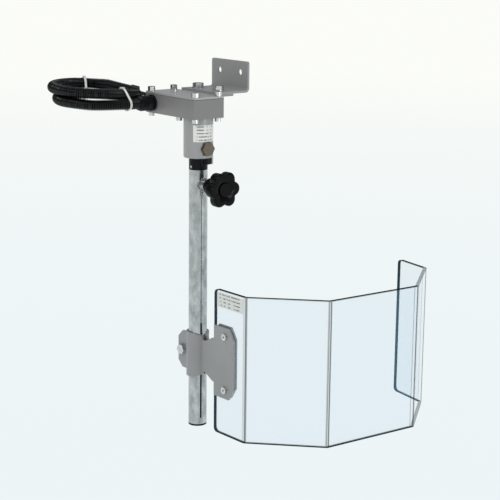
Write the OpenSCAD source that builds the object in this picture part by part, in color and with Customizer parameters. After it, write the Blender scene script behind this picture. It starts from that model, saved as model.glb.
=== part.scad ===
// Interlocked swing guard for the chuck of a drill press.
// Origin: midway between the two mounting holes, on the rear face of the bracket.
// +X runs along the switch box, away from the conduit. +Y points into the machine. +Z is up.

/* [Mounting bracket] */
// Width of the bracket
bracket_w = 79; // [70:1:100]
// Sheet thickness of the bracket
bracket_t = 3; // [2.5:0.5:5]
// Height of the mounting holes above the underside of the bracket's foot
hole_up = 26; // [20:1:40]
// Height of the upright above the mounting holes
bracket_top = 15; // [10:1:30]
// Distance from the mounting face to the front edge of the foot
foot_depth = 55; // [50:1:70]
// Distance between the two mounting holes
hole_gap = 45; // [36:1:50]
// Diameter of the mounting holes
mount_hole_d = 8.5; // [6.5:0.5:9]
// Outer radius of the bend
bend_r = 6; // [4:0.5:8]
// Distance from the mounting face back to the foot's bolts
foot_bolt_back = 39.5; // [32:0.5:42]

/* [Support angle] */
// Sheet thickness of the support angle
angle_t = 3; // [2.5:0.5:4]
// Depth of its top leg
angle_depth = 28; // [26:1:34]
// Height of its upright leg
angle_drop = 20; // [16:1:22]

/* [Switch box] */
// Length of the box
box_l = 110; // [100:1:140]
// Width of the box
box_w = 48; // [46:1:60]
// Height of the box's frame
body_h = 22; // [21:0.5:40]
// Wall thickness of the frame
box_wall = 3; // [2.5:0.5:4]
// Thickness of the lid
lid_t = 2.5; // [2:0.5:4]
// Thickness of the lid's seal
gasket_t = 1; // [0.5:0.25:2]
// Thickness of the base plate
base_t = 3; // [2.5:0.5:5]
// Distance of the corner screws from the sides
screw_inset = 5.5; // [5.5:0.25:6]
// Drop from the foot's underside to the top of the lid
lid_drop = 0; // [0:0.5:6]

/* [Turret and swivel] */
// Diameter of the turret
turret_d = 39.5; // [38:0.5:40]
// Height of the turret under the base plate
turret_h = 53; // [44:1:80]
// Distance from the turret's axis to the box's near end
pivot_inset = 23.5; // [22:0.5:30]
// Diameter of the swivel shaft
shaft_d = 20; // [18:0.5:20.5]
// Outer diameter of both bearing bushes
bush_d = 24; // [23.5:0.5:25]
// Radial running clearance of the shaft in its bushes
run_gap = 0.05; // [0.03:0.01:0.08]
// How far the stop skirt hangs below the turret
skirt_h = 8.5; // [7:0.5:12]
// Radial thickness of the stop skirt
skirt_t = 3; // [2:0.5:3]
// Direction of the skirt's first stop face, from +X
skirt_from = 30; // [25:1:40]
// Largest opening angle of the guard
swing = 180; // [90:5:200]
// Height of the stop bush
stop_h = 16; // [12:1:20]
// Width of the stop lug
lug_w = 8; // [6:0.5:9]
// Height of the stop lug
lug_h = 8; // [6:0.5:8]
// Height of the retaining plug above the turret's lower edge
plug_up = 13; // [12.5:0.5:16]

/* [Tube] */
// Outer diameter of the guard tube
tube_d = 25; // [25:0.5:28]
// Length of the guard tube
tube_l = 353; // [345:1:500]
// Sliding clearance of the tube on the shaft, each side
slide_gap = 0.1; // [0.05:0.01:0.1]
// Height adjustment
travel = 150; // [50:5:160]
// Width of the guide slot in the tube
slot_w = 2.2; // [2.2:0.1:4]
// Direction of the guide slot, from +X
slot_at = -16; // [-40:1:-15]
// Distance from the tube's top to the slot's upper end
slot_from_top = 30; // [28:1:60]
// Distance from the tube's lower end to the slot's lower end
slot_from_end = 9; // [5:1:40]
// Shaft length left inside the tube at its lowest setting
grip_l = 60; // [50:1:80]

/* [Clamping knob] */
// Diameter over the knob's lobes
knob_d = 49; // [40:1:60]
// Thickness of the knob's lobes
knob_t = 13; // [10:1:20]
// Length of the knob's hub
knob_hub = 20; // [14:1:24]
// Length of bare stud between the boss and the knob
stud_bare = 6; // [4:1:10]
// Diameter of the threaded stud
stud_d = 10; // [8:0.5:10]
// Outer diameter of the boss on the tube
boss_d = 15.5; // [15:0.5:18]
// Length of the boss beyond the tube
boss_l = 8; // [6:0.5:12]
// Distance from the tube's top to the knob's axis
knob_down = 20; // [18:0.5:24]

/* [Shield clamp] */
// Sheet thickness of the clamp halves
clamp_t = 3; // [2.5:0.5:4]
// Height of the clamp's plates
plate_h = 98; // [80:1:110]
// Distance from the tube's axis to the plates' inner edge
plate_from = 42; // [38:1:46]
// Distance from the tube's axis to the plates' outer edge
plate_to = 83; // [82:1:96]
// Distance from the tube's axis to the rear plate's outer edge
rear_to = 78; // [72:1:80]
// Height of the strap round the tube
strap_h = 62; // [50:1:70]
// Height of the waist between strap and plates
waist_h = 44; // [30:1:46]
// Height of the clamp's ears
ear_h = 52; // [40:1:54]
// Distance from the tube's axis to the ears' outer edge
ear_to = 36; // [34:1:40]
// Height of the clamp's middle above the shield's lower edge
clamp_up = 102; // [90:1:110]
// Distance between the two plate screws
plate_screw_gap = 74; // [60:1:76]

/* [Shield] */
// Height of the shield
shield_h = 200; // [180:1:260]
// Thickness of the clear sheet
sheet_t = 5; // [4:0.5:6]
// Bend angle between two facets
bend_angle = 42.5; // [35:0.5:45]
// Length of the first and the last facet
side_l = 62; // [60:1:80]
// Length of the second and the fourth facet
front_l = 110; // [100:1:130]
// Length of the middle facet
middle_l = 149; // [120:1:180]
// Distance from the tube's axis to the shield's fixed edge
shield_from = 39; // [34:1:40]
// Direction of the clamp and the first facet, from +X
clamp_turn = 1.4; // [-10:0.1:10]
// Outer radius of the bends
fold_r = 8; // [6.5:0.5:10]
// Radius of the four free corners
corner_r = 6; // [3:0.5:10]

/* [Conduit] */
// Outer diameter of the ribbed conduit
conduit_d = 15; // [12:0.5:15]
// Mean radius of the coil
coil_r = 54; // [54:1:70]
// Distance from the gland's mouth to the coil's centre, along Y
lead_l = 24; // [24:1:60]
// Distance the coil stands aside of the gland's axis
coil_aside = 13.5; // [13:0.5:30]
// Distance from the box's far end to the gland
gland_inset = 17; // [16:0.5:20]
// Diameter of the gland's thread
gland_thread_d = 16; // [14:0.5:16]
// Diameter of the gland's flange
gland_flange_d = 22; // [20:0.5:22]
// Length of the gland outside the box
gland_l = 25; // [22:1:30]

/* [Hidden] */
$fn = 64;

eps = 0.01;
m4_r = 2;
m5_r = 2.5;
m6_r = 3;
m8_r = 4;

// heights, from the mounting holes down
foot_z = -hole_up;
lid_top = foot_z - lid_drop;
lid_z = lid_top - lid_t;
body_top = lid_z - gasket_t;
body_z = body_top - body_h;
base_z = body_z - base_t;
turret_z = base_z - turret_h;
stop_gap = 0.2;
stop_top = turret_z - stop_gap;
tube_top = stop_top - stop_h;
tube_z = tube_top - tube_l;
end_rim = 2.5;
shield_z = tube_z - end_rim;
clamp_z = shield_z + clamp_up;
knob_z = tube_top - knob_down;
plug_z = turret_z + plug_up;

// plan positions
box_front = -foot_depth - box_w;
pivot_y = -foot_depth - box_w / 2;
pivot_x = box_l / 2 - pivot_inset;
box_x0 = -box_l / 2;
box_x1 = box_l / 2;
gland_x = box_x0 + gland_inset;
gland_z = body_z + body_h / 2;
screw_x = [box_x0 + screw_inset, box_x1 - screw_inset];
screw_y = [box_front + screw_inset, -foot_depth - screw_inset];
mid_screw_x = pivot_x - (box_x1 - screw_inset - pivot_x);

module at_pivot(z = 0) {
    translate([pivot_x, pivot_y, z]) children();
}

module at_guard(z) {
    at_pivot(z) rotate(clamp_turn) children();
}

// a plain drill along +Z from z = from
module drill(r, from, len) {
    translate([0, 0, from]) cylinder(r = r, h = len);
}

// hexagon head or nut of width af across its flats, standing on z = 0
module hex(af, h) {
    cylinder(d = af / cos(30), h = h, $fn = 6);
}

// hexagon bolt, head above z = 0 and shank below
module hex_bolt(r, af, head, len) {
    union() {
        hex(af, head);
        drill(r, -len, len + eps);
    }
}

// socket cap screw, head above z = 0 and shank below
module cap_screw(r, head_r, head, af, len) {
    difference() {
        union() {
            cylinder(r = head_r, h = head);
            drill(r, -len, len + eps);
        }
        translate([0, 0, head / 2]) hex(af, head);
    }
}

module ring(ro, ri, h) {
    difference() {
        cylinder(r = ro, h = h);
        drill(ri, -1, h + 2);
    }
}

// ---- bracket and support angle ----

foot_slot_l = 16;
upright_corner = 3;

// L section seen along X, its outer corner at the origin, legs along -Y and +Z
module l_section(depth, height, t, r) {
    difference() {
        translate([-depth, 0]) square([depth, height]);
        translate([-depth - 1, t]) square([depth + 1 - t, height]);
        difference() {
            translate([-r, -1]) square([r + 1, r + 1]);
            translate([-r, r]) circle(r = r);
        }
    }
    translate([-t, t]) difference() {
        translate([-(r - t), 0]) square([r - t + eps, r - t]);
        translate([-(r - t), r - t]) circle(r = r - t);
    }
}

module mounting_bracket() {
    color([0.56, 0.57, 0.58]) difference() {
        translate([-bracket_w / 2, 0, foot_z]) rotate([90, 0, 90])
            linear_extrude(bracket_w) l_section(foot_depth, hole_up + bracket_top, bracket_t, bend_r);
        for (x = [-hole_gap / 2, hole_gap / 2]) {
            translate([x, 1, 0]) rotate([90, 0, 0]) cylinder(d = mount_hole_d, h = bracket_t + 2);
            slot_cut(x, -foot_bolt_back, foot_z - 1, bracket_t + 2);
        }
        for (s = [-1, 1]) {
            translate([s * bracket_w / 2, 1, bracket_top]) rotate([90, 0, 0])
                corner_cut(upright_corner, bracket_t + 2, s);
        }
    }
}

// what rounds the corner of a plate: s is the side of X that the corner is on
module corner_cut(r, len, s) {
    difference() {
        translate([s > 0 ? -r : -1, -r, 0]) cube([r + 1, r + 1, len]);
        translate([-s * r, -r, -1]) cylinder(r = r, h = len + 2);
    }
}

module slot_cut(x, y, z, h) {
    straight = foot_slot_l - mount_hole_d;
    for (s = [-0.5, 0.5]) {
        translate([x, y + s * straight, z]) cylinder(d = mount_hole_d, h = h);
    }
    translate([x - mount_hole_d / 2, y - straight / 2, z]) cube([mount_hole_d, straight, h]);
}

module support_angle() {
    color([0.50, 0.51, 0.52]) difference() {
        translate([-bracket_w / 2, -foot_depth, foot_z]) mirror([0, 0, 1]) union() {
            cube([bracket_w, angle_depth, angle_t]);
            cube([bracket_w, angle_t, angle_t + angle_drop]);
        }
        for (x = [-hole_gap / 2, hole_gap / 2]) {
            translate([x, -foot_bolt_back, 0]) drill(mount_hole_d / 2, foot_z - angle_t - 1, angle_t + 2);
            translate([x, -foot_depth + angle_t, support_screw_z]) rotate([90, 0, 0])
                drill(m5_r, -1, angle_t + 2);
        }
    }
}
washer_t = 1.6;
washer_r = 8;
m5_af = 8;
m6_head = 4;
m6_af = 10;
m8_head = 5.3;
m8_nut = 6.5;
m8_af = 13;
foot_bolt_l = washer_t * 2 + bracket_t + angle_t + m8_nut + 2;

module at_foot_bolts() {
    for (x = [-hole_gap / 2, hole_gap / 2]) {
        translate([x, -foot_bolt_back, 0]) children();
    }
}

module foot_bolts() {
    color([0.78, 0.79, 0.80]) at_foot_bolts()
        translate([0, 0, foot_z + bracket_t + washer_t]) hex_bolt(m8_r, m8_af, m8_head, foot_bolt_l);
}

module foot_washers() {
    color([0.80, 0.81, 0.82]) at_foot_bolts() {
        translate([0, 0, foot_z + bracket_t]) ring(washer_r, m8_r, washer_t);
        translate([0, 0, foot_z - angle_t - washer_t]) ring(washer_r, m8_r, washer_t);
    }
}

module foot_nuts() {
    color([0.76, 0.77, 0.78]) at_foot_bolts()
        translate([0, 0, foot_z - angle_t - washer_t - m8_nut]) difference() {
            hex(m8_af, m8_nut);
            drill(m8_r, -1, m8_nut + 2);
        }
}

support_head_r = 4.6;
support_head_h = 2.6;

module support_screws() {
    // pan screws inside the box, threaded into the angle
    color([0.72, 0.73, 0.74]) for (x = [-hole_gap / 2, hole_gap / 2]) {
        translate([x, -foot_depth - box_wall, support_screw_z]) rotate([90, 0, 0]) {
            cylinder(r = support_head_r, h = support_head_h);
            drill(m5_r, -box_wall - angle_t, box_wall + angle_t + eps);
        }
    }
}

// ---- switch box ----

post = 2 * screw_inset;
thread_l = 9;
// the support screws pass over the base screws' posts
support_screw_z = body_z + thread_l + 2 + support_head_r + 0.3;

module at_corners(z = 0) {
    for (x = screw_x, y = screw_y) {
        translate([x, y, z]) children();
    }
}

module at_base_screws(z = 0) {
    at_corners(z) children();
    for (y = screw_y) {
        translate([mid_screw_x, y, z]) children();
    }
}

module box_body() {
    color([0.52, 0.52, 0.53]) difference() {
        union() {
            difference() {
                translate([box_x0, box_front, body_z]) cube([box_l, box_w, body_h]);
                translate([box_x0 + box_wall, box_front + box_wall, body_z - 1])
                    cube([box_l - 2 * box_wall, box_w - 2 * box_wall, body_h + 2]);
            }
            intersection() {
                at_corners(body_z) translate([-post / 2, -post / 2, 0]) cube([post, post, body_h]);
                translate([box_x0, box_front, body_z]) cube([box_l, box_w, body_h]);
            }
            for (y = screw_y) {
                translate([mid_screw_x - post / 2, y - post / 2, body_z]) cube([post, post, thread_l + 2]);
            }
        }
        at_corners(body_top - thread_l) cylinder(r = m6_r, h = thread_l + 1);
        at_base_screws(body_z - 1) cylinder(r = m5_r, h = thread_l + 1);
        translate([gland_x, box_front - 1, gland_z]) rotate([-90, 0, 0])
            cylinder(d = gland_thread_d, h = box_wall + 2);
        for (x = [-hole_gap / 2, hole_gap / 2]) {
            translate([x, -foot_depth - box_wall, support_screw_z]) rotate([-90, 0, 0])
                drill(m5_r, -1, box_wall + 2);
        }
    }
}

module plate_with_holes(z, t) {
    difference() {
        translate([box_x0, box_front, z]) cube([box_l, box_w, t]);
        at_corners(z - 1) cylinder(r = m6_r, h = t + 2);
    }
}

module box_lid() {
    color([0.60, 0.61, 0.62]) plate_with_holes(lid_z, lid_t);
}

module lid_gasket() {
    color([0.12, 0.12, 0.12]) difference() {
        plate_with_holes(body_top, gasket_t);
        translate([box_x0 + box_wall, box_front + box_wall + post, body_top - 1])
            cube([box_l - 2 * box_wall, box_w - 2 * box_wall - 2 * post, gasket_t + 2]);
        translate([box_x0 + box_wall + post, box_front + box_wall, body_top - 1])
            cube([box_l - 2 * box_wall - 2 * post, box_w - 2 * box_wall, gasket_t + 2]);
    }
}

module lid_screws() {
    color([0.80, 0.81, 0.82]) at_corners(lid_top)
        cap_screw(m6_r, 5, 6, 5, lid_t + gasket_t + thread_l - 1);
}

shaft_hole_r = bush_d / 2;
turret_screw_r = (bush_d / 2 + turret_d / 2) / 2;
turret_screw_at = [0, 120, 240];

module base_plate() {
    color([0.60, 0.61, 0.62]) difference() {
        translate([box_x0, box_front, base_z]) cube([box_l, box_w, base_t]);
        at_base_screws(base_z - 1) cylinder(r = m5_r, h = base_t + 2);
        at_pivot(base_z - 1) {
            cylinder(r = shaft_hole_r, h = base_t + 2);
            for (a = turret_screw_at) {
                rotate(a) translate([turret_screw_r, 0, 0]) cylinder(r = m4_r, h = base_t + 2);
            }
        }
        for (x = switch_screw_x) {
            translate([x, pivot_y, base_z - 1]) cylinder(r = m4_r, h = base_t + 2);
        }
    }
}

module base_screws() {
    color([0.80, 0.81, 0.82]) at_base_screws(base_z) mirror([0, 0, 1])
        cap_screw(m5_r, 4.25, 5, 4, base_t + thread_l - 1);
}

// ---- turret ----

turret_round = 1.5;
lower_bush_l = 8;
flange_t = 1.5;
flange_d = bush_d + 5;
turret_thread = 10;
spot_r = turret_d / 2 - 1.2;
plug_thread_r = 6;

// ring sector from angle a0 to a1, drawn as a revolve
module sector(ri, ro, h, a0, a1) {
    rotate(a0) rotate_extrude(angle = a1 - a0) translate([ri, 0]) square([ro - ri, h]);
}

lug_r = turret_d / 2 - 1;
lug_half = asin(lug_w / 2 / (turret_d / 2 - skirt_t));
lug_at = skirt_from - lug_half - 0.5;
skirt_to = 360 + lug_at - lug_half - swing - 0.5;

module turret() {
    color([0.58, 0.59, 0.60]) at_pivot() difference() {
        union() {
            rotate_extrude() turret_profile();
            translate([0, 0, turret_z - skirt_h])
                sector(turret_d / 2 - skirt_t, turret_d / 2, skirt_h + turret_round + 1, skirt_from, skirt_to);
        }
        for (a = turret_screw_at) {
            rotate(a) translate([turret_screw_r, 0, base_z - turret_thread])
                cylinder(r = m4_r, h = turret_thread + 1);
        }
        translate([0, 0, plug_z]) rotate([0, 90, 0]) cylinder(r = plug_thread_r, h = turret_d);
        translate([spot_r, -turret_d / 2, plug_z - plug_af / 2 - 0.4])
            cube([turret_d, turret_d, plug_af + 0.8]);
    }
}

module turret_profile() {
    difference() {
        translate([bush_d / 2, turret_z]) square([(turret_d - bush_d) / 2, turret_h]);
        translate([bush_d / 2 - 1, turret_z - 1]) square([(flange_d - bush_d) / 2 + 1, flange_t + 1]);
        difference() {
            translate([turret_d / 2 - turret_round, turret_z - 1]) square([turret_round + 1, turret_round + 1]);
            translate([turret_d / 2 - turret_round, turret_z + turret_round]) circle(r = turret_round);
        }
    }
}

module turret_screws() {
    color([0.72, 0.73, 0.74]) at_pivot(base_z + base_t) for (a = turret_screw_at) {
        rotate(a) translate([turret_screw_r, 0, 0]) {
            cylinder(r = 3.4, h = 1.2);
            drill(m4_r, -base_t - turret_thread + 1, base_t + turret_thread - 1 + eps);
        }
    }
}

label_t = 0.25;
label_h = 22;
label_span = 100;
label_at = -7;
label_drop = 8.5;

module rating_label() {
    color([0.93, 0.93, 0.90]) at_pivot(base_z - label_drop - label_h)
        sector(turret_d / 2, turret_d / 2 + label_t, label_h, label_at - label_span / 2, label_at + label_span / 2);
}

upper_bush_l = 24;
upper_flange_t = 2;
// the upper bush's flange is small enough to leave the turret's screw heads clear
upper_flange_d = bush_d + 1;

module upper_bush() {
    color([0.70, 0.52, 0.32]) at_pivot(base_z + base_t) difference() {
        union() {
            cylinder(d = upper_flange_d, h = upper_flange_t);
            drill(bush_d / 2, -upper_bush_l, upper_bush_l + eps);
        }
        drill(shaft_d / 2 + run_gap, -upper_bush_l - 1, upper_bush_l + upper_flange_t + 2);
    }
}

module lower_bush() {
    color([0.70, 0.52, 0.32]) at_pivot(turret_z) difference() {
        union() {
            cylinder(d = flange_d, h = flange_t);
            cylinder(d = bush_d, h = lower_bush_l);
        }
        drill(shaft_d / 2 + run_gap, -1, lower_bush_l + 2);
    }
}

plug_af = 17;
plug_head = 5;
ball_r = 2.5;
ball_at = shaft_d / 2 + 0.9;
ball_bore_r = ball_r + 0.1;
ball_pocket = spot_r - 1.5;

module at_plug() {
    at_pivot(plug_z) rotate([0, 90, 0]) children();
}

module retaining_plug() {
    color([0.55, 0.45, 0.30]) at_plug() difference() {
        union() {
            translate([0, 0, spot_r]) rotate(30) hex(plug_af, plug_head);
            drill(plug_thread_r, bush_d / 2 + 0.3, spot_r - bush_d / 2 - 0.3 + eps);
        }
        drill(ball_bore_r, bush_d / 2 - 1, ball_pocket - bush_d / 2 + 1);
    }
}

spring_wire = 0.35;
spring_r = ball_bore_r - spring_wire - 0.15;
spring_turns = 3;
spring_from = ball_at + ball_r + spring_wire + 0.05;
spring_to = ball_pocket - spring_wire - 0.05;

// closed tube of radius r swept along the points p, with n sides
function unit(v) = v / norm(v);
function tangent(p, i) = unit(p[min(i + 1, len(p) - 1)] - p[max(i - 1, 0)]);
function sweep_ring(p, i, r, n) =
    let (t = tangent(p, i), s = unit(cross([0, 0, 1], t)), u = cross(t, s))
    [for (k = [0:n - 1]) p[i] + r * (cos(360 * k / n) * s + sin(360 * k / n) * u)];

module swept_tube(p, r, n) {
    last = (len(p) - 1) * n;
    points = [for (i = [0:len(p) - 1]) each sweep_ring(p, i, r, n)];
    walls = [for (i = [0:len(p) - 2], k = [0:n - 1], a = [i * n + k], b = [i * n + (k + 1) % n])
        [a + n, b + n, b, a]];
    near_end = [for (k = [0:n - 1]) k];
    far_end = [for (k = [n - 1:-1:0]) last + k];
    polyhedron(points, concat([near_end], walls, [far_end]));
}

module plug_spring() {
    turns = [for (i = [0:20:360 * spring_turns])
        [spring_r * cos(i), spring_r * sin(i), spring_from + (spring_to - spring_from) * i / 360 / spring_turns]];
    color([0.75, 0.76, 0.77]) at_plug() swept_tube(turns, spring_wire, 6);
}

module plug_ball() {
    color([0.80, 0.81, 0.82]) at_plug() translate([0, 0, ball_at]) sphere(r = ball_r);
}

// ---- microswitch, worked by the cam ----

plunger_travel = 1.2;
plunger_gap = 0.1;
cam_r = 13;
cam_t = 6;
cam_z = base_z + base_t + upper_flange_t + 0.2;
cam_mid = cam_z + cam_t / 2;
plunger_r = 2;
plunger_l = 12;
plunger_tip = pivot_x - cam_r - plunger_gap;
plunger_out = 4;
switch_l = 34;
switch_w = 20;
switch_h = 15;
switch_x = plunger_tip - plunger_out - switch_l;
switch_z = base_z + base_t;
switch_screw_x = [switch_x + 7, switch_x + 21];

module microswitch() {
    color([0.15, 0.16, 0.17]) difference() {
        translate([switch_x, pivot_y - switch_w / 2, switch_z]) cube([switch_l, switch_w, switch_h]);
        for (x = switch_screw_x) {
            translate([x, pivot_y, switch_z]) drill(m4_r, -1, switch_h + 2);
        }
        translate([switch_x + switch_l + 1, pivot_y, cam_mid]) rotate([0, -90, 0])
            cylinder(r = plunger_r + 0.05, h = plunger_l - plunger_out + 3);
    }
}

module switch_screws() {
    color([0.75, 0.76, 0.77]) for (x = switch_screw_x) {
        translate([x, pivot_y, switch_z + switch_h]) {
            cylinder(r = 3.6, h = 2.4);
            drill(m4_r, -switch_h - base_t, switch_h + base_t + eps);
        }
    }
}

module switch_plunger() {
    color([0.85, 0.25, 0.20]) translate([plunger_tip, pivot_y, cam_mid]) rotate([0, -90, 0])
        cylinder(r = plunger_r, h = plunger_l);
}

// ---- gland and conduit ----

seal_t = 1.5;
gland_flange_t = 3;
gland_cap_l = 12;
gland_mouth = box_front - gland_l;
cap_r = 9.8;
cord_bore_r = 6;

// along the gland's axis, outwards from the box's front wall
module at_gland() {
    translate([gland_x, box_front, gland_z]) rotate([90, 0, 0]) children();
}

module gland_seal() {
    color([0.10, 0.10, 0.10]) at_gland() ring(gland_flange_d / 2 - 0.5, gland_thread_d / 2, seal_t);
}

module gland_body() {
    body_l = gland_l - seal_t - gland_flange_t - gland_cap_l;
    color([0.08, 0.08, 0.09]) at_gland() difference() {
        union() {
            drill(gland_thread_d / 2, -box_wall, box_wall + seal_t + eps);
            drill(gland_flange_d / 2, seal_t, gland_flange_t);
            translate([0, 0, seal_t + gland_flange_t]) hex(19, body_l);
        }
        drill(cord_bore_r, -box_wall - 1, box_wall + gland_l);
    }
}

module gland_cap() {
    color([0.08, 0.08, 0.09]) at_gland() translate([0, 0, gland_l - gland_cap_l])
        rotate_extrude() polygon([[cord_bore_r, 0], [cap_r, 0], [cap_r, gland_cap_l - 3],
                                  [cap_r - 1.2, gland_cap_l], [cord_bore_r, gland_cap_l]]);
}

coil_c = [gland_x - coil_r - coil_aside, gland_mouth - lead_l];
coil_z = gland_z - 1;
coil_rise = conduit_d + 2;
tail_at = 130;
tail_l = 44;
ferrule_l = 12;
ferrule_r = conduit_d / 2 + 1;
cable_r = 2.5;
cable_l = 16;

// how far the lead has turned where the coil takes over
lead_turn = -30;

function bezier(a, b, c, d, s) =
    pow(1 - s, 3) * a + 3 * s * pow(1 - s, 2) * b + 3 * s * s * (1 - s) * c + pow(s, 3) * d;

module at_coil(z = 0) {
    translate([coil_c[0], coil_c[1], coil_z + z]) children();
}

module conduit_lead() {
    mouth = [gland_x, gland_mouth, gland_z];
    start = [coil_c[0] + coil_r * cos(lead_turn), coil_c[1] + coil_r * sin(lead_turn), coil_z];
    reach = (gland_mouth - start[1]) / 3;
    second = mouth - [0, reach, 0];
    third = start - reach * [sin(lead_turn), -cos(lead_turn), 0];
    route = [for (s = [0:0.1:1]) bezier(mouth, second, third, start, s)];
    color([0.07, 0.07, 0.08]) swept_tube(route, conduit_d / 2, 12);
}

module conduit_coil() {
    // both turns as one ring, with room for the ferrule where the upper turn has ended
    color([0.07, 0.07, 0.08]) difference() {
        at_coil() rotate_extrude() translate([coil_r, 0]) {
            circle(d = conduit_d);
            translate([0, coil_rise]) circle(d = conduit_d);
            translate([-conduit_d / 2, 0]) square([conduit_d, coil_rise]);
        }
        along_tail(tail_l) drill(ferrule_r + 0.3, 3.7 - ferrule_l, ferrule_l + cable_l);
    }
}

tail_dip = 12;
tail_dir = [sin(tail_at) * cos(tail_dip), -cos(tail_at) * cos(tail_dip), -sin(tail_dip)];
tail_from = [coil_c[0] + coil_r * cos(tail_at), coil_c[1] + coil_r * sin(tail_at), coil_z + coil_rise];

module along_tail(s) {
    translate(tail_from + s * tail_dir) rotate([0, 90 + tail_dip, tail_at - 90]) children();
}

module conduit_tail() {
    color([0.07, 0.07, 0.08]) swept_tube([for (s = [0:0.25:1]) tail_from + s * tail_l * tail_dir],
                                         conduit_d / 2, 12);
}

module conduit_ferrule() {
    color([0.05, 0.05, 0.05]) along_tail(tail_l) difference() {
        union() {
            drill(ferrule_r, -ferrule_l + 4, ferrule_l - 4);
            rotate_extrude() polygon([[cable_r, 0], [ferrule_r, 0], [ferrule_r, 2], [cable_r + 1, 4], [cable_r, 4]]);
        }
        drill(conduit_d / 2, -ferrule_l, ferrule_l);
    }
}

module cable_tail() {
    color([0.06, 0.06, 0.06]) along_tail(tail_l) drill(cable_r, 0, 4 + cable_l);
}

tie_w = 3;
tie_t = 1.3;
tie_gap = 0.2;
tie_at = [12, 163];

module cable_ties() {
    color([0.92, 0.92, 0.90]) at_coil(coil_rise / 2) for (a = tie_at) {
        rotate(a) translate([coil_r, tie_w / 2, 0]) rotate([90, 0, 0]) linear_extrude(tie_w) difference() {
            tie_outline(conduit_d / 2 + tie_gap + tie_t);
            tie_outline(conduit_d / 2 + tie_gap);
        }
    }
}

module tie_outline(r) {
    union() {
        for (s = [-0.5, 0.5]) {
            translate([0, s * coil_rise]) circle(r = r);
        }
        translate([-r, -coil_rise / 2]) square([2 * r, coil_rise]);
    }
}

// ---- swivel shaft ----

spigot_r = 6;
shaft_top = cam_z;
shaft_end = tube_top - travel - grip_l;
pin_r = slot_w / 2 - 0.15;
pin_z = tube_top - slot_from_top - travel - pin_r - 0.2;
cam_bolt_l = 16;
stop_pin_r = 2;
stop_pin_z = tube_top + 4;

module swivel_shaft() {
    color([0.66, 0.67, 0.68]) at_pivot() difference() {
        union() {
            drill(shaft_d / 2, shaft_end, shaft_top - shaft_end);
            drill(spigot_r, shaft_top, cam_t - 0.2);
        }
        drill(m6_r, cam_z + cam_t - cam_bolt_l - 2, cam_bolt_l + 4);
        translate([0, 0, plug_z]) rotate_extrude() translate([ball_at, 0]) circle(r = ball_r + 0.1);
        translate([0, 0, stop_pin_z]) rotate([90, 0, 0]) cylinder(r = stop_pin_r, h = shaft_d + 2, center = true);
        translate([0, 0, pin_z]) rotate([0, 90, slot_at]) cylinder(r = pin_r, h = shaft_d);
    }
}

// the cam's radius shrinks evenly as the guard opens
function cam_reach(a) =
    let (past = (a + 180) % 360)
    past <= swing + 8 ? cam_r - plunger_travel * past / swing :
    past >= 345 ? cam_r :
    cam_r - plunger_travel * (swing + 8) / swing * (345 - past) / (337 - swing);

module cam() {
    color([0.72, 0.60, 0.40]) at_pivot(cam_z) difference() {
        linear_extrude(cam_t) polygon([for (a = [0:4:356]) cam_reach(a) * [cos(a), sin(a)]]);
        drill(spigot_r, -1, cam_t + 2);
    }
}

module cam_bolt() {
    color([0.78, 0.79, 0.80]) at_pivot(cam_z + cam_t) union() {
        drill(8.5, 0, washer_t);
        hex(m6_af, washer_t + m6_head);
        drill(m6_r, -cam_bolt_l, cam_bolt_l + eps);
    }
}

lug_root = shaft_d / 2 + 1;

module stop_bush() {
    color([0.06, 0.06, 0.07]) at_pivot() difference() {
        union() {
            drill(tube_d / 2, tube_top, stop_h);
            rotate(lug_at) translate([lug_root, -lug_w / 2, stop_top - lug_h])
                cube([lug_r - lug_root, lug_w, lug_h - 0.3]);
        }
        drill(shaft_d / 2, tube_top - 1, stop_h + 2);
        translate([0, 0, stop_pin_z]) rotate([90, 0, 0]) cylinder(r = stop_pin_r, h = tube_d + 2, center = true);
    }
}

module stop_pin() {
    color([0.70, 0.71, 0.72]) at_pivot(stop_pin_z) rotate([90, 0, 0])
        cylinder(r = stop_pin_r, h = tube_d - 1, center = true);
}

module guide_pin() {
    pin_from = 4;
    color([0.70, 0.71, 0.72]) at_pivot(pin_z) rotate([0, 90, slot_at])
        drill(pin_r, pin_from, tube_d / 2 - 0.3 - pin_from);
}

// ---- guard tube ----

tube_bore = shaft_d / 2 + slide_gap;
stud_r = stud_d / 2;
stud_gap = 0.05;

module guard_tube() {
    slot_top = tube_top - slot_from_top;
    slot_end = tube_z + slot_from_end;
    color([0.70, 0.73, 0.73]) at_pivot() difference() {
        drill(tube_d / 2, tube_z, tube_l);
        drill(tube_bore, tube_z - 1, tube_l + 2);
        rotate(slot_at) {
            translate([0, -slot_w / 2, slot_end + slot_w / 2]) cube([tube_d, slot_w, slot_top - slot_end - slot_w]);
            for (z = [slot_end + slot_w / 2, slot_top - slot_w / 2]) {
                translate([0, 0, z]) rotate([0, 90, 0]) cylinder(d = slot_w, h = tube_d);
            }
        }
        translate([0, 0, knob_z]) rotate([0, 90, 0]) cylinder(r = stud_r + stud_gap, h = tube_d);
    }
}

module tube_plug() {
    color([0.08, 0.08, 0.09]) at_pivot() union() {
        drill(tube_d / 2, tube_z - end_rim, end_rim);
        drill(tube_bore, tube_z - eps, 12);
    }
}

// along the knob's axis, outwards from the tube's axis
module at_knob() {
    at_pivot(knob_z) rotate([0, 90, 0]) children();
}

boss_to = tube_d / 2 + boss_l;

module knob_boss() {
    color([0.62, 0.64, 0.65]) difference() {
        at_knob() difference() {
            cylinder(d = boss_d, h = boss_to);
            drill(stud_r + stud_gap, -1, boss_to + 2);
        }
        at_pivot(tube_z) cylinder(d = tube_d, h = tube_l);
    }
}

pad_gap = 0.05;
pad_l = 3;
knob_from = boss_to + stud_bare;
face_from = knob_from + knob_hub;
knob_to = face_from + knob_t;
cap_pocket_r = 9;
cap_pocket_t = 1.5;

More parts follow.
